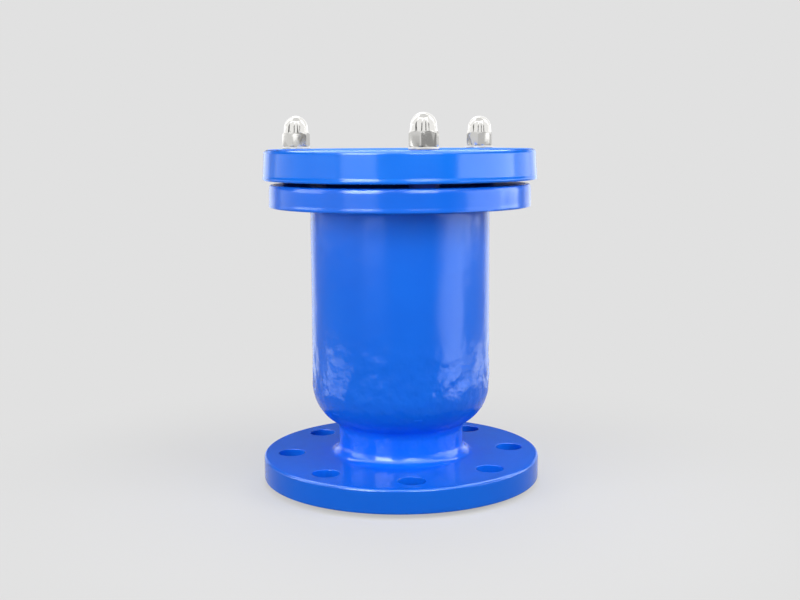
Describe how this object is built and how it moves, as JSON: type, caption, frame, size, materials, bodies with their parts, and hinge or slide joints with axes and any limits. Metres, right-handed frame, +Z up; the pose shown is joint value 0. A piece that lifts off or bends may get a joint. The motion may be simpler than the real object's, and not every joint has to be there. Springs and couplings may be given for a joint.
{
  "type": "flanged air release valve",
  "caption": "Flanged air release valve: round cast pot with guided float and shut-off disc, seat plate and overhanging rain hood on studs with domed cap nuts.",
  "frame": {"origin": "centre of the inlet flange's raised sealing face", "axes": "+Z up along the valve's axis, -Y to the front, with one flange bolt hole straight in front"},
  "size_m": [0.2, 0.2, 0.2634],
  "materials": {
    "blue_enamel": "thick gloss enamel over a sand casting",
    "stainless": "turned stainless steel",
    "polished_stainless": "polished stainless steel",
    "rubber": "moulded black rubber",
    "polypropylene": "moulded natural polypropylene",
    "bronze": "turned bearing bronze",
    "brass": "turned brass"
  },
  "bodies": {
    "valve": {"body_casting": "blue_enamel", "seat_plate": "blue_enamel", "seat_o_ring": "rubber", "seat_seal": "rubber", "vent_screen": "stainless", "hood": "blue_enamel", "hood_studs": "stainless", "hood_spacers": "blue_enamel", "hood_washers": "stainless", "cap_nuts": "polished_stainless"},
    "disc": {"shutoff_disc": "polypropylene", "disc_bushes": "bronze", "vent_nozzle": "brass", "nozzle_lock_nut": "brass"},
    "float": {"float_shell": "polypropylene", "float_lid": "polypropylene", "lid_inserts": "brass", "pad_holder": "brass", "nozzle_pad": "rubber", "link_screws": "stainless"}
  },
  "joints": [
    {"name": "disc_lift", "type": "slide", "parent": "valve", "child": "disc", "axis": [0, 0, 1], "range_m": [0, 0.02]},
    {"name": "float_lift", "type": "slide", "parent": "disc", "child": "float", "axis": [0, 0, 1], "range_m": [0, 0.006]}
  ]
}
